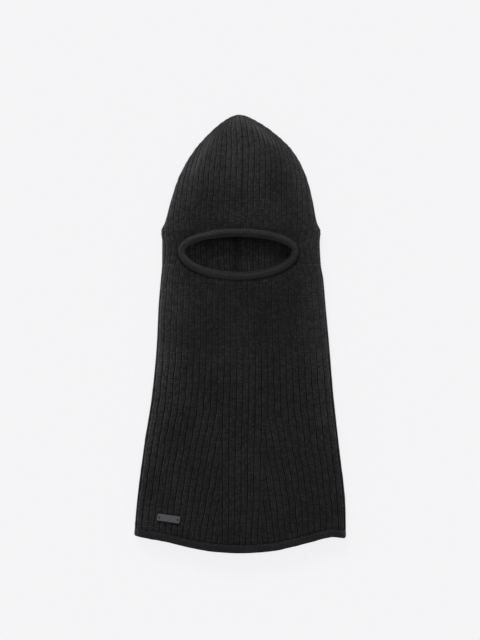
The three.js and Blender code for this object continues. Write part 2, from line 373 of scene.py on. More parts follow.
def finished(mesh, attributes, material):
    """The object of a mesh, with its material and the attributes that the material reads."""
    for key, values in attributes.items():
        layer = mesh.attributes.new(key, "FLOAT", "POINT")
        layer.data.foreach_set("value", np.ascontiguousarray(values, np.float32).ravel())
    mesh.materials.append(material)
    return placed(mesh.name, mesh)


def grid_faces(rows, cols, wrap_rows=False, wrap_cols=False, offset=0, flip=False):
    """The quads between a grid's points, which count along each row in turn."""
    j = np.arange(rows if wrap_rows else rows - 1)[:, None]
    i = np.arange(cols if wrap_cols else cols - 1)[None, :]
    a = j * cols + i
    b = j * cols + (i + 1) % cols
    c = (j + 1) % rows * cols + (i + 1) % cols
    d = (j + 1) % rows * cols + i
    quads = np.stack([a, b, c, d], axis=-1).reshape(-1, 4) + offset
    return quads[:, ::-1] if flip else quads


def sheet_object(name, top, bottom, attributes, material):
    """A closed sheet from two grids of points, with a wall round its rim."""
    rows, cols, _ = top.shape
    layer = rows * cols
    faces = [grid_faces(rows, cols), grid_faces(rows, cols, offset=layer, flip=True)]
    ring = np.concatenate([
        np.arange(cols - 1),
        np.arange(rows - 1) * cols + cols - 1,
        (rows - 1) * cols + np.arange(cols - 1, 0, -1),
        np.arange(rows - 1, 0, -1) * cols,
    ])
    after = np.roll(ring, -1)
    faces.append(np.stack([ring + layer, after + layer, after, ring], axis=-1))
    verts = np.concatenate([top.reshape(-1, 3), bottom.reshape(-1, 3)])
    both = {k: np.concatenate([v.ravel(), v.ravel()]) for k, v in attributes.items()}
    return mesh_object(name, verts, np.concatenate(faces), both, material)


def normals_of(grid):
    du = np.gradient(grid, axis=1)
    dv = np.gradient(grid, axis=0)
    n = np.cross(du, dv)
    return n / np.maximum(np.linalg.norm(n, axis=-1, keepdims=True), 1e-12)


# ----------------------------------------------------------
# The garment's two faces
# ----------------------------------------------------------


def across_grid(y, cols, margin):
    """x for a grid of cols columns whose points are at heights y, close together at both edges."""
    side = cols // 9
    theta = np.linspace(0, math.pi / 2, side + 1)
    flat = np.linspace(0, 1, cols - 2 * side)
    lean_l, lean_r = leaning(left_edge, y), leaning(right_edge, y)
    left = left_edge(y) + EDGE_INSET * lean_l
    right = right_edge(y) - EDGE_INSET * lean_r
    width = np.maximum(right - left, 2e-4)
    margin_l = np.minimum(margin * lean_l, 0.46 * width)
    margin_r = np.minimum(margin * lean_r, 0.46 * width)
    kind = np.zeros(cols)
    kind[:side] = 1 - np.cos(theta[:-1])
    kind[cols - side:] = (1 - np.cos(theta[:-1]))[::-1]
    x = np.empty_like(y)
    x[:, :side] = (left + margin_l * kind)[:, :side]
    x[:, cols - side:] = (right - margin_r * kind)[:, cols - side:]
    inner = slice(side, cols - side)
    x[:, inner] = (left + margin_l)[:, inner] + (width - margin_l - margin_r)[:, inner] * flat
    return x


def from_edge(x, y):
    """Distance to the outline, square to it, rounded where the two sides are equally near."""
    lean_l, lean_r = leaning(left_edge, y), leaning(right_edge, y)
    e_l = np.maximum(x - left_edge(y) - EDGE_INSET * lean_l, 1e-7) / lean_l
    e_r = np.maximum(right_edge(y) - EDGE_INSET * lean_r - x, 1e-7) / lean_r
    return (e_l ** -3.0 + e_r ** -3.0) ** (-1 / 3.0)


def quarter_round(e, margin):
    """0 at the edge, rising like a quarter of a circle to 1 at the margin."""
    short = 1 - np.clip(e / margin, 0, 1)
    return np.sqrt(np.maximum(1 - short ** 2, 0))


def soft_rise(e, margin):
    return np.sin(math.pi / 2 * np.clip(e / margin, 0, 1))


def ridge_line(x, y, start, end, height, spread):
    """A soft fold of the cloth along a line, fading at both ends."""
    (x0, y0), (x1, y1) = start, end
    long = math.hypot(x1 - x0, y1 - y0)
    tx, ty = (x1 - x0) / long, (y1 - y0) / long
    along = ((x - x0) * tx + (y - y0) * ty) / long
    aside = -(x - x0) * ty + (y - y0) * tx
    fade = smoothstep(-0.15, 0.2, along) * smoothstep(1.15, 0.8, along)
    return height * fade * bell(aside, spread)


def swell(x, y):
    """Slow unevenness of the laid cloth, and the folds that the crown shows."""
    z = 0.00055 * np.sin(x / 0.029 + 1.3) * np.sin(y / 0.045 + 0.4)
    z += 0.00045 * np.sin(x / 0.013 + y / 0.060 + 2.1)
    z += 0.00035 * cloud(x, y, 0.006, 7)
    for fold in CROWN_FOLDS:
        z += ridge_line(x, y, *fold)
    return z


def beside_trim(x, y):
    """1 just outside the trim of the opening, fading to 0 away from it."""
    rise = np.where(y > EYE_Y, EYE_UP, EYE_DOWN)
    dx, dy = x - EYE_X, y - EYE_Y
    ratio = np.sqrt((dx / EYE_HALF_WIDTH) ** 2 + (dy / rise) ** 2)
    slope = np.sqrt((dx / EYE_HALF_WIDTH ** 2) ** 2 + (dy / rise ** 2) ** 2)
    slope = slope / np.maximum(ratio, 0.2)
    outside = (ratio - 1) / np.maximum(slope, 1e-6)
    return bell(np.maximum(outside - TRIM_CREASE_FROM, 0), TRIM_CREASE_WIDTH)


def front_height(x, y):
    """The front's loft: a round margin, then a gentler rise, which takes a larger share at the crown."""
    e = from_edge(x, y)
    crown = smoothstep(0.125, 0.235, y)
    slope_share = 0.30 + 0.34 * crown
    rise = (1 - slope_share) * quarter_round(e, FRONT_MARGIN) + slope_share * soft_rise(e, LOFT_REACH)
    top = FRONT_TOP + swell(x, y) * soft_rise(e, SWELL_REACH) - TRIM_CREASE * beside_trim(x, y)
    return SEAM_Z + SEAM_GAP + (top - SEAM_Z - SEAM_GAP) * rise


def front_surface(y, cols):
    x = across_grid(y, cols, FRONT_MARGIN)
    return np.stack([x, y, front_height(x, y)], axis=-1)


def back_surface(y, cols):
    """The outer face of the back, which lies on the floor."""
    x = across_grid(y, cols, BACK_MARGIN)
    low = SEAM_Z - SEAM_GAP
    z = low - (low - BACK_REST) * quarter_round(from_edge(x, y), BACK_MARGIN)
    return np.stack([x, y, z], axis=-1)


def rows_between(low, high, step, crowding=1.0):
    """A grid of heights from the curve low to the curve high, crowding more rows in near high."""
    rows = int(np.max(high - low) / step) + 2
    t = 1 - (1 - np.linspace(0, 1, rows)) ** crowding
    return low[None, :] + (high - low)[None, :] * t[:, None]


# ----------------------------------------------------------
# Materials
# ----------------------------------------------------------


class Shader:
    """A material's node tree, with short calls for the nodes that the cloth needs."""

    def __init__(self, name):
        self.mat = bpy.data.materials.new(name)
        self.mat.use_nodes = True
        self.nodes = self.mat.node_tree.nodes
        self.links = self.mat.node_tree.links
        self.bsdf = self.nodes["Principled BSDF"]

    def put(self, socket, value):
        """Link a socket to another node's output, or set it to a number or a colour."""
        if isinstance(value, bpy.types.NodeSocket):
            self.links.new(value, socket)
        else:
            socket.default_value = value

    def surface(self, name, value):
        self.put(self.bsdf.inputs[name], value)

    def math(self, operation, *values):
        node = self.nodes.new("ShaderNodeMath")
        node.operation = operation
        for socket, value in zip(node.inputs, values):
            self.put(socket, value)
        return node.outputs[0]

    def attribute(self, name):
        node = self.nodes.new("ShaderNodeAttribute")
        node.attribute_name = name
        return node.outputs["Fac"]

    def noise(self, scale, detail=3, roughness=0.6, stretch=(1, 1, 1)):
        coords = self.nodes.new("ShaderNodeTexCoord")
        mapping = self.nodes.new("ShaderNodeMapping")
        mapping.inputs["Scale"].default_value = stretch
        noise = self.nodes.new("ShaderNodeTexNoise")
        noise.inputs["Scale"].default_value = scale
        noise.inputs["Detail"].default_value = detail
        noise.inputs["Roughness"].default_value = roughness
        self.links.new(coords.outputs["Object"], mapping.inputs["Vector"])
        self.links.new(mapping.outputs["Vector"], noise.inputs["Vector"])
        return noise.outputs["Fac"]

    def random(self, a, b):
        """A random value from 0 to 1 for each pair of whole parts of a and b."""
        join = self.nodes.new("ShaderNodeCombineXYZ")
        self.put(join.inputs[0], self.math("FLOOR", a))
        self.put(join.inputs[1], self.math("FLOOR", b))
        node = self.nodes.new("ShaderNodeTexWhiteNoise")
        self.links.new(join.outputs[0], node.inputs["Vector"])
        return node.outputs["Value"]

    def ramp(self, value, stops):
        node = self.nodes.new("ShaderNodeValToRGB")
        elements = node.color_ramp.elements
        while len(elements) < len(stops):
            elements.new(0.5)
        for element, (position, color) in zip(elements, stops):
            element.position = position
            element.color = (*color, 1)
        self.put(node.inputs["Fac"], value)
        return node.outputs["Color"]

    def bump(self, height, distance, strength=1.0, after=None):
        node = self.nodes.new("ShaderNodeBump")
        node.inputs["Distance"].default_value = distance
        node.inputs["Strength"].default_value = strength
        self.put(node.inputs["Height"], height)
        if after is not None:
            self.links.new(after, node.inputs["Normal"])
        return node.outputs["Normal"]


def stitch_height(sh, from_wale, course):
    """V-shaped stitches, two slanted legs to a wale.

    from_wale is 0 in the wale's middle and 1 at its borders.
    """
    lean = sh.math("MULTIPLY", from_wale, 0.45)
    turn = sh.math("MULTIPLY", sh.math("SUBTRACT", course, lean), 2 * math.pi)
    wave = sh.math("MULTIPLY_ADD", sh.math("COSINE", turn), 0.30, 0.64)
    off_leg = sh.math("MULTIPLY_ADD", from_wale, 2.0, -1.0)
    leg = sh.math("SUBTRACT", 1.0, sh.math("MULTIPLY", off_leg, off_leg))
    return sh.math("MULTIPLY", leg, wave)


def finish_knit(sh, height, depth, grain, shade):
    """The yarn's colour, fuzz and sheen, with painted shade in low places and painted light where its
    nap is high.

    height is the stitches' own, depth is 0 in the deepest places, and grain differs between stitches.
    """
    nap = sh.attribute("nap")
    fibre = sh.noise(2200, 4, 0.75, (1.0, 0.45, 1.0))
    tone = sh.math("MULTIPLY_ADD", sh.noise(48, 3), 0.3, -0.31)
    tone = sh.math("MULTIPLY_ADD", sh.noise(430, 2, 0.7), 0.45, tone)
    tone = sh.math("MULTIPLY_ADD", fibre, 0.5, tone)
    tone = sh.math("MULTIPLY_ADD", grain, 0.30, tone)
    # painted shade in the valleys and grooves, a little weaker where the nap and painted light is high
    valley_shade_strength = sh.math("MULTIPLY_ADD", nap, -0.14, 0.86)
    painted_valley_shade = sh.math("MULTIPLY", sh.math("SUBTRACT", 1.0, depth), valley_shade_strength)
    tone = sh.math("MULTIPLY", tone, sh.math("SUBTRACT", 1.0, painted_valley_shade))
    # painted shade where the stitches lie low
    tone = sh.math("MULTIPLY", tone, sh.math("MULTIPLY_ADD", height, 0.75, 0.55))
    # painted light: lighter where the nap and painted light attribute is high
    tone = sh.math("MULTIPLY", tone, sh.math("MULTIPLY_ADD", nap, 0.6, 1.0))
    sh.surface("Base Color", sh.ramp(tone, shade))
    sh.surface("Roughness", sh.math("MULTIPLY_ADD", fibre, 0.16, 0.8))
    sh.surface("Specular IOR Level", 0.12)
    fluffy = sh.math("MULTIPLY_ADD", nap, 1.6, 1.0)
    sheen = sh.math("MULTIPLY", sh.math("MULTIPLY", depth, YARN_SHEEN), fluffy)
    sh.surface("Sheen Weight", sheen)
    sh.surface("Sheen Roughness", 0.5)
    sh.surface("Sheen Tint", (0.95, 0.96, 0.98, 1))
    stitches = sh.bump(height, 0.0013, 1.0)
    sh.surface("Normal", sh.bump(fibre, 0.00035, 0.7, after=stitches))
    return sh.mat


def from_middle(sh, phase):
    """0 in the middle of a rib or a wale, 1 at its borders."""
    return sh.math("ABSOLUTE", sh.math("MULTIPLY_ADD", sh.math("FRACT", phase), 2.0, -1.0))


def rib_material(name, shade):
    """Two wales of stitches to a rib, the purl stitches' cross bars in the valleys, and painted shade in
    the valleys.
    """
    sh = Shader(name)
    phase, course = sh.attribute("rib"), sh.attribute("course")
    off_middle = from_middle(sh, phase)
    in_wale = sh.math("MULTIPLY_ADD", off_middle, 2 / WALE_REACH, -1.0)
    from_wale = sh.math("MINIMUM", sh.math("ABSOLUTE", in_wale), 1.0)
    stitches = stitch_height(sh, from_wale, course)
    turn = sh.math("MULTIPLY", course, 2 * math.pi)
    bars = sh.math("MULTIPLY_ADD", sh.math("COSINE", turn), 0.12, 0.2)
    valley = sh.math("GREATER_THAN", off_middle, WALE_REACH)
    height = sh.math("MULTIPLY_ADD", bars, valley, stitches)
    # painted shade: the valleys and the groove between a rib's two wales are darkened
    valley_shade_mask = sh.math("MULTIPLY", sh.math("POWER", off_middle, 5.5), sh.attribute("ribbed"))
    groove = sh.math("MAXIMUM", sh.math("MULTIPLY_ADD", off_middle, -1 / GROOVE_REACH, 1.0), 0.0)
    groove_shade = sh.math("MULTIPLY", groove, 0.3)
    depth = sh.math("SUBTRACT", sh.math("SUBTRACT", 1.0, valley_shade_mask), groove_shade)
    grain = sh.random(sh.math("MULTIPLY", phase, 2.0), course)
    return finish_knit(sh, height, depth, grain, shade)


def plain_material(name, shade):
    """The smooth, finer knit of the hems and the trim."""
    sh = Shader(name)
    wale, course = sh.attribute("rib"), sh.attribute("course")
    height = stitch_height(sh, from_middle(sh, wale), course)
    # painted shade where the stitches lie low
    depth = sh.math("MULTIPLY_ADD", height, 0.3, 0.7)
    grain = sh.math("MULTIPLY_ADD", sh.random(wale, course), 0.4, 0.3)
    return finish_knit(sh, height, depth, grain, shade)


def yarn_material(name, shade):
    """Two plies laid round each other, with painted shade in the groove between them."""
    sh = Shader(name)
    ply = sh.attribute("ply")
    turn = sh.math("MULTIPLY", ply, 2 * math.pi)
    height = sh.math("MULTIPLY_ADD", sh.math("SINE", turn), 0.5, 0.5)
    depth = sh.math("MULTIPLY_ADD", height, 0.5, 0.5)
    return finish_knit(sh, height, depth, sh.random(ply, 0.0), shade)


def plate_material(name):
    """Grey metal, brushed along the plate."""
    sh = Shader(name)
    brush = sh.noise(260, 4, 0.65, (0.12, 6.0, 1.0))
    mottle_and_painted_light = sh.noise(420, 3)
    tone = sh.math("MULTIPLY_ADD", brush, 0.6, sh.math("MULTIPLY", mottle_and_painted_light, 0.4))
    stops = [(0.3, (0.085, 0.086, 0.089)), (0.7, (0.125, 0.126, 0.130))]
    sh.surface("Base Color", sh.ramp(tone, stops))
    sh.surface("Metallic", 0.55)
    sh.surface("Roughness", sh.math("MULTIPLY_ADD", brush, 0.2, 0.38))
    sh.surface("Normal", sh.bump(brush, 0.00008, 0.5))
    return sh.mat


def greys(*stops):
    """Faintly cool greys for a colour ramp."""
    return [(position, (value, value, value * 1.03)) for position, value in stops]


RIB_GREYS = greys((0.05, 0.0018), (0.42, 0.0145), (0.95, 0.052))
SMOOTH_GREYS = greys((0.05, 0.002), (0.42, 0.0165), (0.95, 0.056))
YARN_GREYS = greys((0.05, 0.002), (0.42, 0.009), (0.85, 0.024))
rib_knit = rib_material("rib_knit", RIB_GREYS)
smooth_knit = plain_material("smooth_knit", SMOOTH_GREYS)
linking_yarn = yarn_material("linking_yarn", YARN_GREYS)
label_plate = plate_material("label_plate")

# ----------------------------------------------------------
# Panels
# ----------------------------------------------------------


def on_eye(angle, offset=0.0):
    """A point of the trim's middle line, or this far outside it."""
    rise = np.where(np.sin(angle) > 0, EYE_UP, EYE_DOWN)
    x = EYE_X + (EYE_HALF_WIDTH + offset) * np.cos(angle)
    y = EYE_Y + (rise + offset) * np.sin(angle)
    return x, y


def slot_edge(x, rise, turn_angle, side_y):
    """The edge of a front panel beside the opening, as a height for each x."""
    dx = x - EYE_X
    turn = EYE_HALF_WIDTH * math.cos(turn_angle)
    inside = EYE_Y + rise * np.sqrt(np.maximum(1 - (dx / EYE_HALF_WIDTH) ** 2, 0))
    at_turn = EYE_Y + rise * math.sin(turn_angle)
    side = np.where(dx < 0, left_edge(GUSSET_TOP_Y), right_edge(GUSSET_TOP_Y))
    share = np.clip((np.abs(dx) - turn) / (np.abs(side - EYE_X) - turn), 0, 1)
    return np.where(np.abs(dx) <= turn, inside, at_turn + (side_y - at_turn) * share)


def hood_lower(x):
    return slot_edge(x, EYE_UP, GUSSET_UP, GUSSET_TOP_Y)


def neck_upper(x):
    return slot_edge(x, -EYE_DOWN, GUSSET_DOWN, GUSSET_BOTTOM_Y)


def column_meets(edge, cols, margin):
    """The height at which each column of a grid meets an edge."""
    y = np.full((1, cols), float(edge(np.zeros(1))[0]))
    for _ in range(12):
        y = edge(across_grid(y, cols, margin))
    return y[0]


def join_dip(y, edge_y):
    """How far the cloth sinks at a linked join that runs along one edge of a panel."""
    return JOIN_DEPTH * bell(y - edge_y, JOIN_WIDTH)


def nap_and_painted_light_of(x, y):
    """How brushed-up the yarn is, with painted light and shade: lighter round the rim, on the hood, the
    crown and its folds and on the left, darker on the crown's right.

    The weights are set to give the photo's tones.
    """
    e = from_edge(x, y)
    rim = 1 - smoothstep(0.0, 0.040, e)
    border = 1 - smoothstep(0.0, 0.007, e)
    left = smoothstep(0.02, -0.08, x)
    right = smoothstep(0.010, 0.050, x) * smoothstep(0.002, 0.020, e)
    neck = smoothstep(-0.17, -0.02, y)
    hood = smoothstep(0.085, 0.165, y)
    crown = smoothstep(0.13, 0.235, y)
    top_of_head = smoothstep(0.155, 0.195, y) * smoothstep(0.238, 0.205, y)
    top_of_head = top_of_head * smoothstep(0.050, 0.015, x)
    folds = sum(ridge_line(x, y, *fold) for fold in CROWN_FOLDS) / 0.003
    # random mottle, with painted shade on the crown's right and painted light on the top of the head
    mottle_and_painted_light = 0.18 * cloud(x, y, 0.035, 11) - 0.32 * crown * right + 0.5 * top_of_head * (1 - rim)
    # painted light round the rim and border, on the left of the neck and on the hood
    nap = 0.05 + (0.12 + 0.55 * neck) * rim + 0.5 * border + 0.14 * left * neck + 0.2 * hood
    # painted light on the crown and its rim, and a painted highlight along the crown's folds
    return nap + crown * (0.25 + rim * (0.75 + 0.3 * left)) + 1.7 * folds + mottle_and_painted_light


def panel_columns(ribs):
    """The columns of a grid for a panel with this many ribs to each half."""
    return int(2 * ribs * COLUMNS_PER_RIB)


def knit_sheet(name, base, phase, nap, outwards=1.0, lift=0.0, inner=1.0):
    """A closed sheet of rib knit from its outer face's base grid.

    The third argument, the panel's own nap and painted light, is added to the garment's own, lift raises
    the outer face, and inner is the share of the relief that the inner face has.
    """
    normal = normals_of(base) * outwards
    below_tip = np.searchsorted(base[:, base.shape[1] // 2, 1], APEX_Y - EVEN_TIP)
    normal[below_tip:] = normal[min(below_tip, len(normal) - 1)]
    y = base[..., 1]
    outer = base + normal * (relief(phase, y) + lift)[..., None]
    back = base - normal * (CLOTH - relief(phase + 0.5, y, inner))[..., None]
    outer[..., 2] = np.maximum(outer[..., 2], 0.0)
    fuzz_and_painted_light = nap_and_painted_light_of(base[..., 0], y) + nap
    attributes = {"rib": phase, "course": y / COURSE, "nap": fuzz_and_painted_light, "ribbed": ribbed(y)}
    top, bottom = (outer, back) if outwards > 0 else (back, outer)
    return sheet_object(name, top, bottom, attributes, rib_knit)


def register(piece, node):
    """The piece rides with the garment and stands in for a CAD node, which is hidden."""
    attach(piece, "root")
    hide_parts(node)


def make_hood():
    cols = panel_columns(RIBS_PER_HALF)
    low = column_meets(hood_lower, cols, FRONT_MARGIN)
    high = np.full(cols, APEX_Y - PANEL_TIP)
    y = rows_between(low, high, FRONT_ROW, TIP_CROWDING)
    base = front_surface(y, cols)
    x = base[..., 0]
    sink = -PANEL_JOIN * join_dip(y, low[None, :])
    # painted light: lighter beside the trim and towards the apex
    painted_light_extra = 0.7 * beside_trim(x, y) + 0.3 * smoothstep(0.228, 0.250, y)
    piece = knit_sheet("hood_front_knit", base, front_phase(x, y), painted_light_extra, lift=sink)
    register(piece, "hood_front")


def make_neck():
    cols = panel_columns(RIBS_PER_HALF + INCREASED_RIBS)
    high = column_meets(neck_upper, cols, FRONT_MARGIN)
    low = column_meets(lambda x: hem_line(x) + HEM_HEIGHT, cols, FRONT_MARGIN)
    y = rows_between(low, high, FRONT_ROW)
    base = front_surface(y, cols)
    x = base[..., 0]
    sink = -PANEL_JOIN * join_dip(y, high[None, :]) - HEM_JOIN * join_dip(y, low[None, :])
    # painted light beside the trim
    painted_light_extra = 0.3 * beside_trim(x, y)
    piece = knit_sheet("neck_front_knit", base, front_phase(x, y), painted_light_extra, lift=sink)
    register(piece, "neck_front")


def make_gusset(side):
    """side is -1 for the left gusset and 1 for the right one."""
    share = np.linspace(0, 1, GUSSET_ROWS)[:, None]
    angle = -GUSSET_DOWN + (GUSSET_UP + GUSSET_DOWN) * share
    inner_x, inner_y = on_eye(angle if side > 0 else math.pi - angle)
    outer_y = GUSSET_BOTTOM_Y + (GUSSET_TOP_Y - GUSSET_BOTTOM_Y) * share
    edge = right_edge if side > 0 else left_edge
    outer_x = edge(outer_y) - side * EDGE_INSET
    t = np.linspace(0, 1, GUSSET_COLUMNS)[None, :] ** 1.7
    t = t if side < 0 else (1 - t[:, ::-1])
    left_x, right_x = (outer_x, inner_x) if side < 0 else (inner_x, outer_x)
    left_y, right_y = (outer_y, inner_y) if side < 0 else (inner_y, outer_y)
    x = left_x + (right_x - left_x) * t
    y = left_y + (right_y - left_y) * t
    base = np.stack([x, y, front_height(x, y)], axis=-1)
    sink = -PANEL_JOIN * JOIN_DEPTH * (bell(share, 0.04) + bell(1 - share, 0.04))
    # painted light beside the trim
    painted_light_extra = 0.4 * beside_trim(x, y)
    name = "gusset_right" if side > 0 else "gusset_left"
    piece = knit_sheet(name + "_knit", base, front_phase(x, y), painted_light_extra, lift=sink)
    register(piece, name)


def back_tone_and_painted_light(x, y):
    """The back's own tone and painted light, seen inside the opening.

    It is darker along a middle channel, carries a painted shadow under the opening's upper edge,
    and has painted light overall and most at its left end.
    """
    channel = bell(x + 0.004, 0.0045)
    # painted light at the opening's left end
    left_end = smoothstep(-0.035, -0.060, x) * bell(y - EYE_Y, 0.025)
    # painted shadow under the opening's upper edge
    upper_edge = bell(y - EYE_Y - EYE_UP + 0.004, 0.006)
    return 0.32 - 0.6 * channel + 0.8 * left_end - 0.6 * upper_edge


def make_back():
    cols = panel_columns(RIBS_PER_HALF + INCREASED_RIBS)
    low = column_meets(lambda x: hem_line(x) + HEM_HEIGHT + HEM_BACK_SETBACK, cols, BACK_MARGIN)
    high = np.full(cols, APEX_Y - PANEL_TIP)
    y = rows_between(low, high, BACK_ROW, TIP_CROWDING)
    base = back_surface(y, cols)
    x = base[..., 0]
    phase = rib_phase(x, y)
    piece = knit_sheet("back_knit", base, phase, back_tone_and_painted_light(x, y), outwards=-1.0, inner=0.35)
    register(piece, "back_panel")


# ----------------------------------------------------------
# Hems
# ----------------------------------------------------------


def make_hem(name, surface, margin, outwards, setback):
    """A smooth double welt: thickest in its middle, rounded at its free edge, pinched at the join."""
    cols = int(2 * (RIBS_PER_HALF + INCREASED_RIBS) * HEM_COLUMNS_PER_RIB)
    low = column_meets(lambda x: hem_line(x) + setback, cols, margin)
    share = np.linspace(0, 1, HEM_ROWS) ** 1.6
    y = low[None, :] + (HEM_HEIGHT * share)[:, None]
    base = surface(y, cols)
    x = base[..., 0]
    normal = normals_of(base) * outwards
    full = quarter_round(share, 0.32)
    pinch = 1 - 0.5 * smoothstep(0.72, 1.0, share)
    thick = (full * pinch)[:, None]
    wale = rib_phase(x, y) * 2
    wavy = HEM_WAVE * np.cos(2 * math.pi * wale)
    middle_of_cloth = base - normal * (CLOTH / 2)
    outer = middle_of_cloth + normal * ((HEM_THICK_OUT + wavy) * thick)[..., None]
    inner = middle_of_cloth - normal * ((HEM_THICK_IN + wavy) * thick)[..., None]
    outer[..., 2] = np.maximum(outer[..., 2], 0.0)
    inner[..., 2] = np.maximum(inner[..., 2], 0.0)
    # painted light along the welt's rim
    nap = 0.12 + 0.6 * (1 - smoothstep(0.0, 0.007, from_edge(x, y)))
    attributes = {"rib": wale, "course": (y - low[None, :]) / (COURSE * 0.8), "nap": nap}
    top, bottom = (outer, inner) if outwards > 0 else (inner, outer)
    piece = sheet_object(name + "_welt", top, bottom, attributes, smooth_knit)
    register(piece, name)


# ----------------------------------------------------------
# Trim, linking and seams
# ----------------------------------------------------------


def sweep(name, path, radii, closed, sides, attributes_of, material, up=(0.0, 0.0, 1.0)):
    """A closed tube along a path.

    radii(k, angle) gives its half sizes aside and upwards at the path's point k, and
    attributes_of(k, angle) what its material reads.
    """
    count = len(path)
    tangent = np.roll(path, -1, 0) - np.roll(path, 1, 0) if closed else np.gradient(path, axis=0)
    tangent /= np.linalg.norm(tangent, axis=1, keepdims=True)
    aside = np.cross(tangent, up)
    aside /= np.linalg.norm(aside, axis=1, keepdims=True)
    upwards = np.cross(aside, tangent)
    angle = np.linspace(0, 2 * math.pi, sides, endpoint=False)[None, :]
    wide, tall = radii(np.arange(count)[:, None], angle)
    points = (path[:, None, :] + aside[:, None, :] * (wide * np.cos(angle))[..., None]
              + upwards[:, None, :] * (tall * np.sin(angle))[..., None])
    faces = grid_faces(count, sides, wrap_rows=closed, wrap_cols=True).tolist()
    verts = points.reshape(-1, 3)
    values = attributes_of(np.arange(count)[:, None], angle)
    values = {k: np.broadcast_to(v, (count, sides)).ravel() for k, v in values.items()}
    if not closed:
        first = np.arange(sides)
        after = np.roll(first, -1)
        last = (count - 1) * sides
        tip = count * sides
        faces += np.stack([after, first, np.full(sides, tip)], -1).tolist()
        faces += np.stack([first + last, after + last, np.full(sides, tip + 1)], -1).tolist()
        verts = np.concatenate([verts, path[[0, -1]]])
        values = {k: np.append(v, [v[0], v[-1]]) for k, v in values.items()}
    mesh = bpy.data.meshes.new(name)
    mesh.from_pydata(verts.tolist(), [], faces)
    mesh.polygons.foreach_set("use_smooth", np.ones(len(faces), bool))
    return finished(mesh, values, material)


def trim_half_width(angle):
    """Widest above the opening, and a little narrower below it and at its ends."""
    up, right = np.sin(angle), np.cos(angle)
    width = TRIM_SIDE + (TRIM_TOP - TRIM_SIDE) * np.clip(up, 0, 1) ** 1.3
    width = width + (TRIM_BOTTOM - TRIM_SIDE) * np.clip(-up, 0, 1) ** 1.3
    return width + TRIM_ENDS * right ** 4


def length_along(points):
    """The length of a path up to each of its points."""
    steps = np.linalg.norm(np.diff(points, axis=0), axis=1)
    return np.concatenate([[0], np.cumsum(steps)])


def make_trim():
    turn = np.linspace(0, 2 * math.pi, TRIM_STEPS, endpoint=False)
    path = np.stack([*on_eye(turn), np.full(TRIM_STEPS, TRIM_Z)], axis=1)
    around = length_along(path)
    perimeter = around[-1] + np.linalg.norm(path[0] - path[-1])
    wale_at = around / perimeter * round(perimeter / TRIM_WALE)
    none = 0 * around
    lumps = 1 + 0.05 * cloud(around, none, 0.009, 5) + 0.03 * cloud(around, none, 0.004, 6)
    width = trim_half_width(turn) * lumps

    def radii(k, angle):
        fine = TRIM_WAVE * np.cos(2 * math.pi * wale_at[k])
        squarish = 1 + 0.05 * np.cos(4 * angle)
        return width[k] * squarish + fine, TRIM_HALF_HEIGHT * squarish + fine

    def values(k, angle):
        down, right = -np.sin(turn[k]), np.cos(turn[k])
        inner_side = smoothstep(-0.1, 0.75, -np.cos(angle))
        painted_shade_facing_light = 1.15 * np.clip(0.85 * down + 0.4 * right, 0, 1)
        left_end = 0.5 * np.clip(-right, 0, 1) ** 4
        # painted light below the opening and on the inner side of its left end, painted shade on the
        # inner side that faces the light below and to the right
        nap = 0.6 + 0.4 * np.clip(down, 0, 1) + inner_side * (left_end - painted_shade_facing_light)
        return {"rib": wale_at[k], "course": angle / (2 * math.pi) * 14, "nap": nap}

    piece = sweep("eye_trim_roll", path, radii, True, TRIM_SIDES, values, smooth_knit)
    register(piece, "eye_trim")


def twisted(radius, pitch, spacing, nap):
    """Two plies of yarn laid round each other, as the half sizes and attributes of a tube."""

    def radii(k, angle):
        ply = 1 + PLY_DEPTH * np.cos(2 * (angle - 2 * math.pi * k * spacing / pitch))
        return radius * ply, radius * ply

    def values(k, angle):
        return {"ply": (angle / math.pi - 2 * k * spacing / pitch) * 2, "nap": nap}

    return radii, values


def make_linking():
    angle = np.linspace(0, 2 * math.pi, LINKING_STEPS, endpoint=False)
    x, y = on_eye(angle, trim_half_width(angle) + LINKING_OFFSET)
    path = np.stack([x, y, np.full(LINKING_STEPS, LINKING_Z)], axis=1)
    radii, values = twisted(LINKING_RADIUS, LINKING_TWIST, LINKING_STEP, 0.7)
    piece = sweep("trim_linking_yarn", path, radii, True, YARN_SIDES, values, linking_yarn)
    register(piece, "trim_linking")


def resample(points, step):
    """The same path, with points this far apart."""
    along = length_along(points)
    at = np.arange(0, along[-1], step)
    return np.stack([np.interp(at, along, points[:, i]) for i in range(3)], axis=1)


def edge_points(edge, inwards, heights):
    """The seam's path along an edge. inwards is 1 on the left edge and -1 on the right one."""
    x = edge(heights) + inwards * (EDGE_INSET + SEAM_INSET) * leaning(edge, heights)
    return np.stack([x, heights, np.full(len(heights), SEAM_Z)], axis=1)


def make_seam(name, points):
    path = resample(points, SEAM_STEP)
    # painted light: the seams' yarn is lightened by a high nap
    radii, values = twisted(SEAM_RADIUS, SEAM_TWIST, SEAM_STEP, 1.4)
    piece = sweep(name + "_yarn", path, radii, False, YARN_SIDES, values, linking_yarn)
    register(piece, name)


def make_seams():
    """Two side seams that start inside the hem, and a crown seam that starts just above their ends."""
    gap = 0.0006
    low = float(hem_line(np.array(0.121))) + 0.005
    side = np.linspace(low, GUSSET_TOP_Y - gap, 300)
    make_seam("side_seam_left", edge_points(left_edge, 1, side))
    make_seam("side_seam_right", edge_points(right_edge, -1, side))
    p = np.linspace(math.sqrt(APEX_Y - GUSSET_TOP_Y - gap), 0.045, 200)
    crown = APEX_Y - p ** 2
    left = edge_points(left_edge, 1, crown)
    right = edge_points(right_edge, -1, crown)[::-1]
    make_seam("crown_seam", np.concatenate([left, right]))


# ----------------------------------------------------------
# Label
# ----------------------------------------------------------


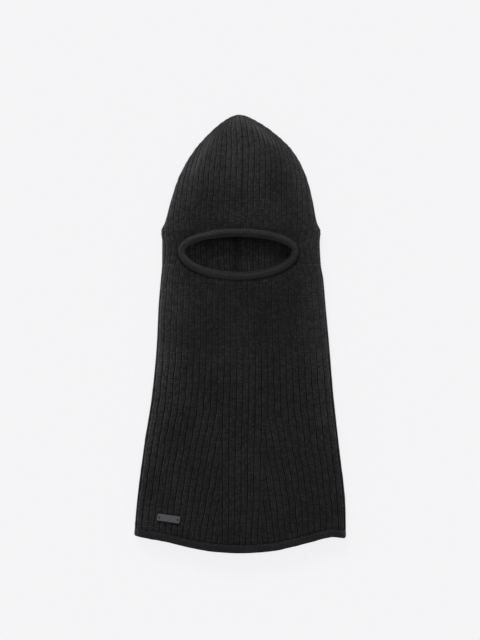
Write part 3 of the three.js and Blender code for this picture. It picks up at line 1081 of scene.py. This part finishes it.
def arc_points(cx, cy, radius, start, end, count):
    turn = np.linspace(start, end, count)
    return [(cx + radius * math.cos(a), cy + radius * math.sin(a)) for a in turn]


def outline_spline(curve, points):
    spline = curve.splines.new("POLY")
    spline.points.add(len(points) - 1)
    for point, (x, y) in zip(spline.points, points):
        point.co = (x, y, 0, 1)
    spline.use_cyclic_u = True


def plate_curve(stitch_x):
    """The label's outline with round corners, and a hole for a stitch at each end."""
    curve = bpy.data.curves.new("front_label_outline", "CURVE")
    curve.dimensions = "2D"
    curve.fill_mode = "BOTH"
    curve.extrude = LABEL_HALF_THICK
    curve.bevel_depth = LABEL_EDGE
    curve.bevel_resolution = 3
    x = LABEL_LENGTH / 2 - LABEL_CORNER
    y = LABEL_WIDTH / 2 - LABEL_CORNER
    quarter = math.pi / 2
    outline = []
    for k, (sx, sy) in enumerate([(1, 1), (-1, 1), (-1, -1), (1, -1)]):
        start = k * quarter
        outline += arc_points(sx * x, sy * y, LABEL_CORNER, start, start + quarter, 7)
    outline_spline(curve, outline)
    for side in (-1, 1):
        hole = arc_points(side * stitch_x, 0, STITCH_HOLE, 2 * math.pi, 0, 19)
        outline_spline(curve, hole[:-1])
    return curve


def weld(mesh):
    bm = bmesh.new()
    bm.from_mesh(mesh)
    bmesh.ops.remove_doubles(bm, verts=bm.verts, dist=1e-6)
    bmesh.ops.recalc_face_normals(bm, faces=bm.faces)
    bm.to_mesh(mesh)
    bm.free()


def mesh_of_curve(curve):
    drawn = placed("front_label_drawn", curve)
    graph = bpy.context.evaluated_depsgraph_get()
    mesh = bpy.data.meshes.new_from_object(drawn.evaluated_get(graph))
    bpy.data.objects.remove(drawn)
    weld(mesh)
    return mesh


def make_label():
    lo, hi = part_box("front_label")
    stitch_x = LABEL_LENGTH / 2 - STITCH_INSET
    mesh = mesh_of_curve(plate_curve(stitch_x))
    turn = Matrix.Rotation(LABEL_TURN, 4, "Z") @ Matrix.Rotation(-LABEL_TILT, 4, "Y")
    place = Matrix.Translation(((lo[0] + hi[0]) / 2, (lo[1] + hi[1]) / 2, LABEL_Z)) @ turn
    mesh.transform(place)
    mesh.name = "front_label_plate"
    mesh.materials.clear()
    register(finished(mesh, {}, label_plate), "front_label")
    make_stitch("label_stitch_left", place @ Vector((-stitch_x, 0, 0)))
    make_stitch("label_stitch_right", place @ Vector((stitch_x, 0, 0)))


def make_stitch(node, at):
    """A loop of thread across the plate, which rises over it and dips into the hole."""
    angle = LABEL_TURN + math.pi / 2
    across = np.array([math.cos(angle), math.sin(angle), 0])
    up = np.array([0, 0, 1.0])
    turn = np.linspace(0, 2 * math.pi, 60, endpoint=False)[:, None]
    rise = STITCH_RISE + STITCH_LOOP * np.sin(turn)
    path = np.array(at) + across * STITCH_LOOP * np.cos(turn) + up * rise
    radii, values = twisted(THREAD_RADIUS, THREAD_TWIST, THREAD_STEP, 0.0)
    name = node + "_thread"
    aside = np.cross(across, up)
    piece = sweep(name, path, radii, True, THREAD_SIDES, values, linking_yarn, up=aside)
    register(piece, node)


make_hood()
make_neck()
make_gusset(-1)
make_gusset(1)
make_back()
make_hem("hem_front", front_surface, FRONT_MARGIN, 1.0, 0.0)
make_hem("hem_back", back_surface, BACK_MARGIN, -1.0, HEM_BACK_SETBACK)
make_trim()
make_linking()
make_seams()
make_label()

# ----------------------------------------------------------
# Stage
# ----------------------------------------------------------


def make_floor():
    """A plain pale floor that glows a little, so that it comes out evenly light."""
    sh = Shader("floor")
    sh.surface("Base Color", (0.10, 0.10, 0.10, 1))
    sh.surface("Roughness", 1.0)
    sh.surface("Specular IOR Level", 0.0)
    sh.surface("Emission Color", (1.0, 1.0, 1.015, 1))
    sh.surface("Emission Strength", 0.83)
    size = 6.0
    verts = np.array([(-size, -size, 0), (size, -size, 0), (size, size, 0), (-size, size, 0)])
    floor = mesh_object("floor", verts, [[0, 1, 2, 3]], {}, sh.mat, smooth=False)


def sun(name, azimuth, elevation, spread, strength):
    """A distant lamp seen from the garment at an azimuth from +Y towards +X and at an elevation."""
    data = bpy.data.lights.new(name, "SUN")
    data.energy = strength
    data.angle = math.radians(spread)
    light = placed(name, data)
    a, e = math.radians(azimuth), math.radians(elevation)
    towards = Vector((math.sin(a) * math.cos(e), math.cos(a) * math.cos(e), math.sin(e)))
    light.rotation_mode = "QUATERNION"
    light.rotation_quaternion = towards.to_track_quat("Z", "Y")


def make_lights():
    world = bpy.data.worlds.new("studio")
    bpy.context.scene.world = world
    world.use_nodes = True
    background = world.node_tree.nodes["Background"]
    background.inputs["Color"].default_value = (1, 1, 1.01, 1)
    background.inputs["Strength"].default_value = 0.42
    sun("key", -16, 28, 20, 2.0)
    sun("left", -80, 30, 40, 0.35)
    sun("right", 80, 30, 40, 0.25)


def make_camera():
    """Straight above the garment, with its crown at the top of the picture."""
    lens, sensor = 100.0, 36.0
    frame_height = 0.736        # what the frame's long side covers at the garment
    distance = lens * frame_height / sensor
    data = bpy.data.cameras.new("camera")
    data.lens = lens
    data.sensor_width = sensor
    data.clip_end = 50
    camera = placed("camera", data)
    camera.location = (0, 0.0155, distance + 0.012)
    bpy.context.scene.camera = camera
    bpy.context.scene.view_settings.view_transform = "Standard"


make_floor()
make_lights()
make_camera()
